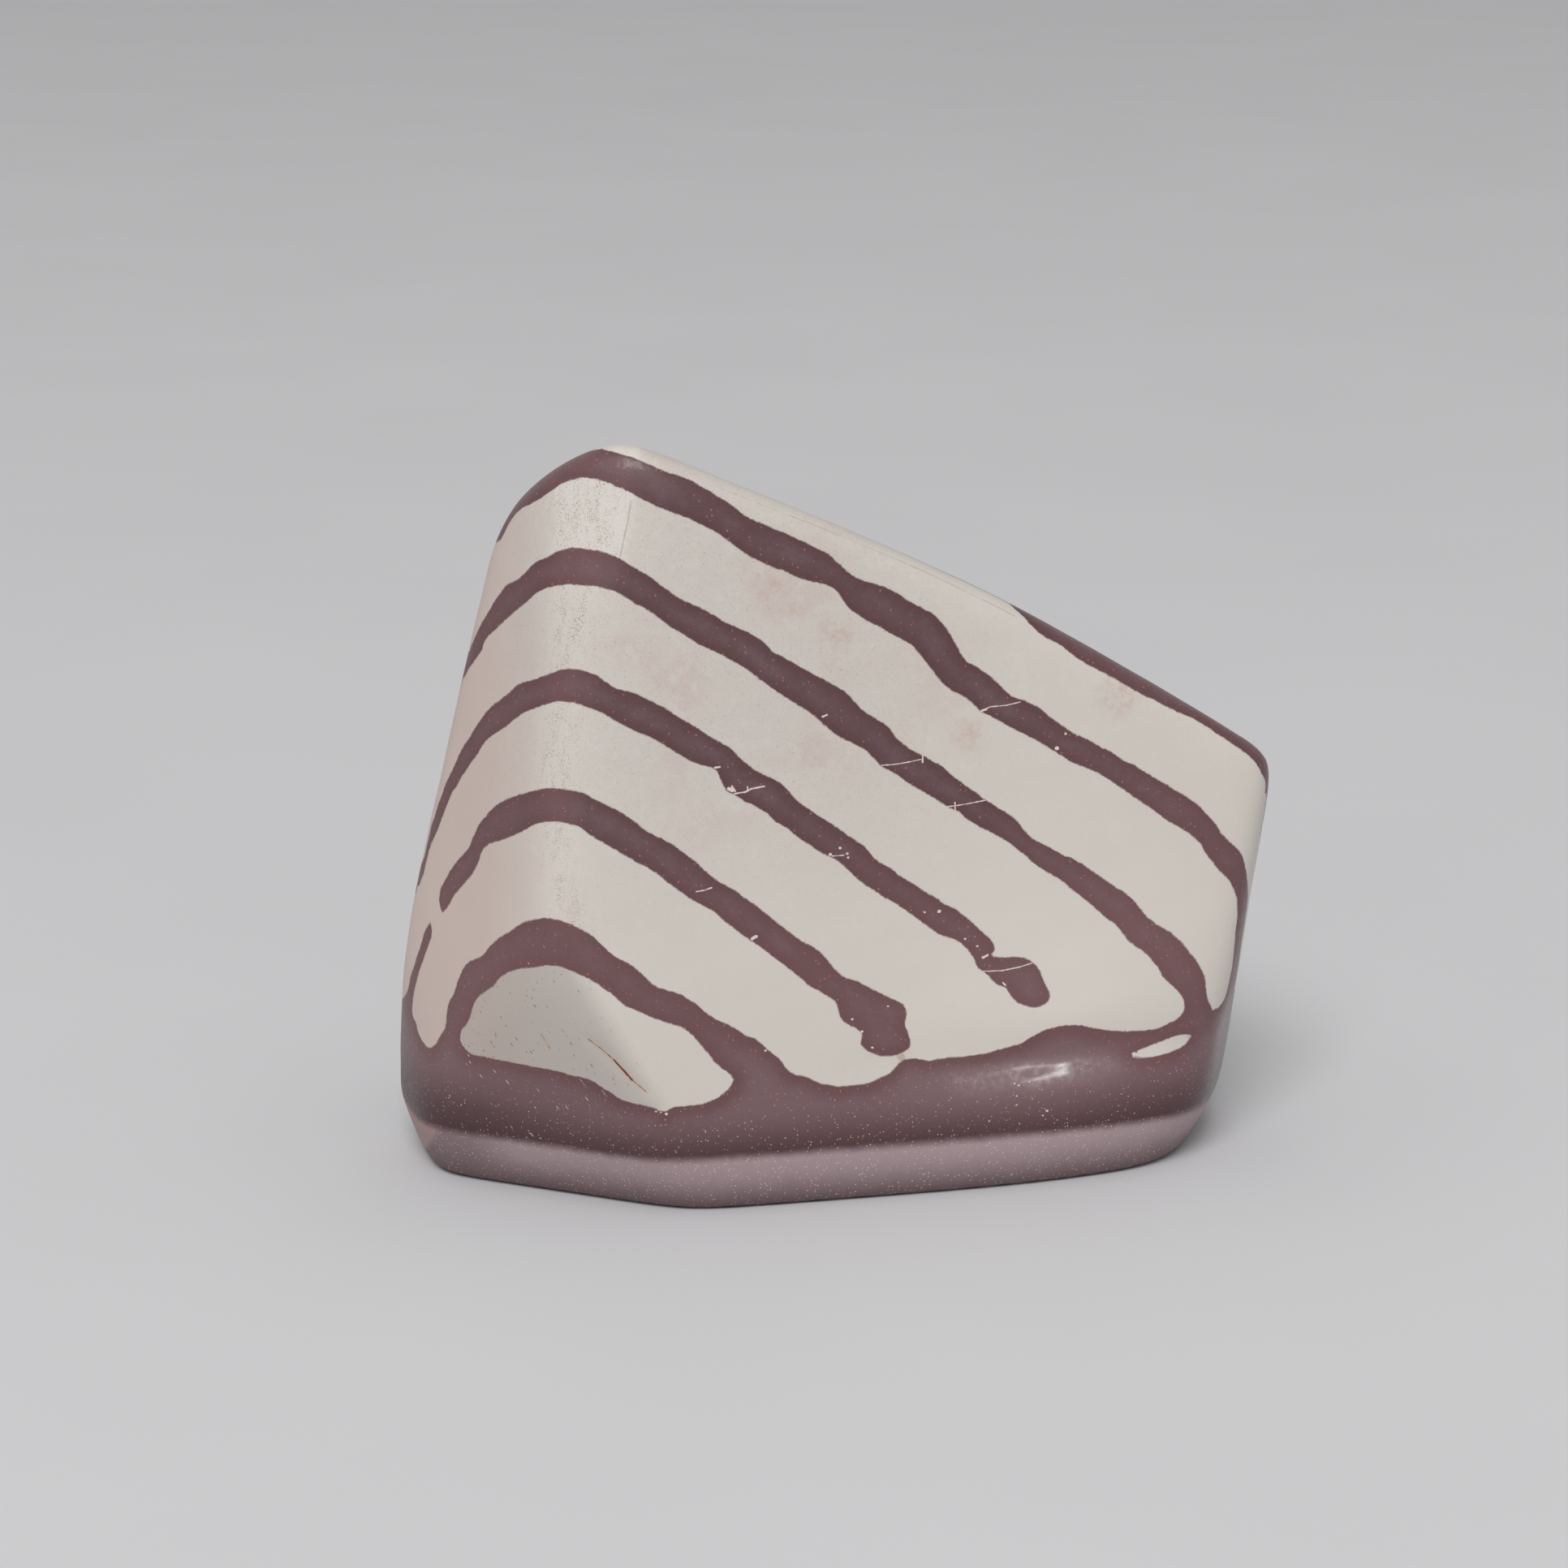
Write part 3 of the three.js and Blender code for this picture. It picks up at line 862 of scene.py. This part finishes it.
def brown_tone(shades, brown, base_zone, toe, slanted):
    """The brown: greyish clouds and dark mottling, redder rims, paler along the ridge and towards the
    foot and both ends, greyish in the base zone, darkened at its foot and at the foot of its ends by
    painted shade, with pinkish and pale specks."""
    math, mix, ramp = shades.math, shades.mix, shades.ramp
    height, across = shades.along("Z"), shades.along("X")
    tone = mix(ramp(shades.noise(3.2, 3, 0.6), 0.35, 0.7), BROWN, BROWN_GREY)
    tone = mix(ramp(shades.noise(0.5, 3, 0.65), 0.5, 0.8, 0.0, 0.6), tone, BROWN_DEEP)
    rim = ramp(math("ADD", brown, math("MULTIPLY", shades.noise(1.1, 2), 0.5)), 1.9, 0.25)
    tone = mix(rim, tone, BROWN_RIM, 0.75)
    tone = mix(shades.fact("grain"), tone, RIDGE_BROWN, 0.4)
    tone = mix(shades.fade(height, BROWN_PALES_DOWN, 0.45), tone, RIDGE_BROWN)
    tone = mix(shades.fade(across, BROWN_PALES_RIGHT, 0.25), tone, RIDGE_BROWN)
    tone = mix(shades.fade(across, BROWN_PALES_LEFT, 0.35), tone, RIDGE_BROWN)
    tone = mix(math("MULTIPLY", base_zone, ramp(brown, 0.5, 2.5, 0.0, 0.8)), tone, BASE_BROWN)
    # Painted shade: the brown darkens towards the floor at its foot, and at the foot of both ends.
    tone = mix(shades.fade(height, PAINTED_FOOT_SHADE_DOWN, 0.85), tone, FOOT_PAINTED_SHADE)
    ends = math("ADD", shades.fade(across, PAINTED_END_SHADE_LEFT, 0.6), shades.fade(across, PAINTED_END_SHADE_RIGHT, 0.3))
    tone = mix(math("MULTIPLY", ends, shades.fade(height, PAINTED_END_SHADE_DOWN)), tone, FOOT_PAINTED_SHADE)
    tone = mix(shades.specks(0.55, 0.27, 0.5), tone, PINK_SPECK, 0.6)
    more_down = ramp(height, 17 * MM, 8 * MM, 0.08, 0.75)
    tone = mix(math("MULTIPLY", shades.specks(0.34, 0.26, 0.4), more_down), tone, PALE_CHIP)
    slits = math("MULTIPLY", toe, shades.specks(0.42, 0.2, 0.6, slanted))
    return mix(slits, tone, PALE_CHIP, 0.7)


def bevel_tone(shades):
    """The matt bevel: pale mauve, palest at its top partly as a painted highlight, darkened by painted
    shade towards the floor and towards the left, with many pale specks, and a tan facet at its left
    corner, partly a painted reflection of the floor."""
    shade_height = shades.math("MULTIPLY", shades.noise(2.5, 4, 0.6), 1.0 * MM)
    shade_height = shades.math("ADD", shades.along("Z"), shade_height)
    # Painted shade: the bevel darkens towards the floor and towards the left corner; its pale top is
    # partly a painted highlight.
    tone = shades.mix(shades.fade(shade_height, PAINTED_BEVEL_SHADE_DOWN), BEVEL_PALE_AND_HIGHLIGHT, BEVEL_PAINTED_SHADE)
    tone = shades.mix(shades.fade(shades.along("X"), PAINTED_BEVEL_SHADE_LEFT, 0.6), tone, BEVEL_PAINTED_SHADE)
    tone = shades.mix(shades.specks(0.34, 0.3, 0.15), tone, PALE_CHIP, 0.85)
    # The left corner facet: partly its own tan, partly a painted reflection of the floor.
    return shades.mix(shades.fact("corner"), tone, CORNER_TAN_AND_REFLECTION)


def stone_material():
    """Cream siltstone with brown markings, fine grain, rims, specks, cracks and a satin polish."""
    shades = Shades("banded_stone_satin")
    math, mix, ramp = shades.math, shades.mix, shades.ramp
    height, across = shades.along("Z"), shades.along("X")

    upright = shades.stretched((0, 0, 0), (1, 1, 5))
    sandy = math("MULTIPLY", ramp(shades.noise(0.15, 2, 0.6), 0.48, 0.62),
                 ramp(shades.noise(0.7, 3, 0.6, upright), 0.4, 0.66, 0.25, 1.0))
    sandy = math("MULTIPLY", shades.fact("grain"), sandy)
    toe = shades.fact("toe")
    slanted = shades.stretched((0, -0.7, 0), (1, 1, 5))
    base_zone = shades.fade(height, BASE_ZONE_DOWN)
    pale, rusty, blotches, edge_lines = marks(shades)
    chipped = shades.fade(shades.wobble(pale, 0.4, 2, 0.14 * MM), (0.02, -0.06))

    brown = shades.wobble(shades.wobble(shades.fact("brown"), 1.6, 3, 0.34), 0.35, 2, 0.22)
    cream = cream_tone(shades, sandy, toe, slanted)
    cream = marked_cream(shades, cream, rusty, blotches, edge_lines)
    earth = mix(chipped, brown_tone(shades, brown, base_zone, toe, slanted), PALE_CHIP, 0.9)
    uneven = math("MULTIPLY", shades.noise(1.5, 3), 0.4 * MM)
    matt = shades.fade(math("ADD", height, uneven), BEVEL_DOWN)
    colour = mix(matt, mix(ramp(brown, -0.10, 0.12), cream, earth), bevel_tone(shades))

    glossy = math("MULTIPLY", base_zone, shades.fade(across, GLOSS_RIGHT))
    roughness = ramp(shades.noise(0.6, 3), 0.3, 0.7, 0.40, 0.50)
    roughness = math("ADD", roughness, math("MULTIPLY", sandy, 0.15))
    roughness = math("SUBTRACT", roughness, math("MULTIPLY", glossy, 0.16))
    roughness = math("ADD", roughness, math("MULTIPLY", matt, 0.46))

    relief = math("MULTIPLY_ADD", shades.noise(0.28, 3, 0.6), 0.5,
                  math("MULTIPLY", shades.noise(1.3, 2), 0.5))
    relief = math("SUBTRACT", relief, math("MULTIPLY", sandy, 0.8))
    relief = math("SUBTRACT", relief, chipped)
    relief = math("MULTIPLY", relief, math("MULTIPLY_ADD", glossy, -0.85, 1.0))
    bump = shades.add("ShaderNodeBump", {"Strength": 0.35, "Distance": 0.06 * MM, "Height": relief})
    return shades.finish(shades.add("ShaderNodeBsdfPrincipled", {
        "Base Color": colour, "Roughness": roughness, "Normal": bump.outputs[0],
        "Coat Weight": 0.09, "Coat Roughness": 0.1,
    }))


def floor_material():
    """Plain pale matt surface with a very faint unevenness of tone."""
    shades = Shades("plain_floor")
    tone = shades.mix(shades.noise(60, 2), srgb(203, 203, 205), srgb(208, 208, 210))
    return shades.finish(shades.add("ShaderNodeBsdfPrincipled", {
        "Base Color": tone, "Roughness": 0.9, "Specular IOR Level": 0.2,
    }))


# Stage: floor, light and camera. Places are in metres.

FLOOR_HALF = 3.0
ROOM_LIGHT = 0.52
WINDOW_PLACE = (-0.23, -1.64, 1.70)
WINDOW_TARGET = (0, 0, 0.036)
WINDOW_SIZE = 0.9
WINDOW_WATTS = 34.5
GLINT_PLACE = (0.653, -1.040, 0.036)
GLINT_TARGET = (0.024, -0.019, 0.013)
GLINT_SIZE = 0.012
GLINT_BEAM = np.radians(2.0)
GLINT_WATTS = 3.4


def make_floor():
    """A level square under the stone, 6 m across."""
    half = FLOOR_HALF
    corners = [(-half, -half, 0), (half, -half, 0), (half, half, 0), (-half, half, 0)]
    mesh = bpy.data.meshes.new("floor_sheet")
    mesh.from_pydata(corners, [], [(0, 1, 2, 3)])
    floor = bpy.data.objects.new("floor", mesh)
    bpy.context.scene.collection.objects.link(floor)
    mesh.materials.append(floor_material())
    return floor


def hang_lamp(lamp, position, target, watts):
    """Puts a lamp at a position and turns it towards a target: down by the angle of the way's level
    part over its fall, and round by the way's own direction, less a right angle."""
    lamp.energy = watts
    holder = bpy.data.objects.new(lamp.name, lamp)
    holder.location = position
    way = np.array(target) - np.array(position)
    tilt = np.arctan2(np.hypot(way[0], way[1]), -way[2])
    turn = np.arctan2(way[1], way[0]) - np.pi / 2
    holder.rotation_euler = (tilt, 0, turn)
    bpy.context.scene.collection.objects.link(holder)


def make_stage():
    """Even room light, a window lamp, a narrow lamp for the glint on the base zone, and the camera."""
    scene = bpy.context.scene
    scene.view_settings.view_transform = "Standard"
    world = bpy.data.worlds.new("pale_room")
    world.use_nodes = True
    background = world.node_tree.nodes["Background"]
    background.inputs["Color"].default_value = (1.0, 1.0, 1.0, 1.0)
    background.inputs["Strength"].default_value = ROOM_LIGHT
    scene.world = world
    window = bpy.data.lights.new("window", "AREA")
    window.size = WINDOW_SIZE
    window.color = (1.0, 0.995, 0.99)
    hang_lamp(window, WINDOW_PLACE, WINDOW_TARGET, WINDOW_WATTS)
    glint = bpy.data.lights.new("glint_on_base", "SPOT")
    glint.spot_size = GLINT_BEAM
    glint.spot_blend = 1.0
    glint.shadow_soft_size = GLINT_SIZE
    hang_lamp(glint, GLINT_PLACE, GLINT_TARGET, GLINT_WATTS)
    lens = bpy.data.cameras.new("camera")
    lens.lens = LENS
    lens.sensor_width = SENSOR
    lens.clip_start = 0.01
    camera = bpy.data.objects.new("camera", lens)
    camera.location = CAMERA * MM
    camera.rotation_euler = (np.pi / 2 - LOOKING_DOWN, 0, 0)
    scene.collection.objects.link(camera)
    scene.camera = camera


make_stage()
make_floor()
zebra_rock = make_stone()
zebra_rock.data.materials.append(stone_material())
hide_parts("zebra_rock")
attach(zebra_rock, "root")
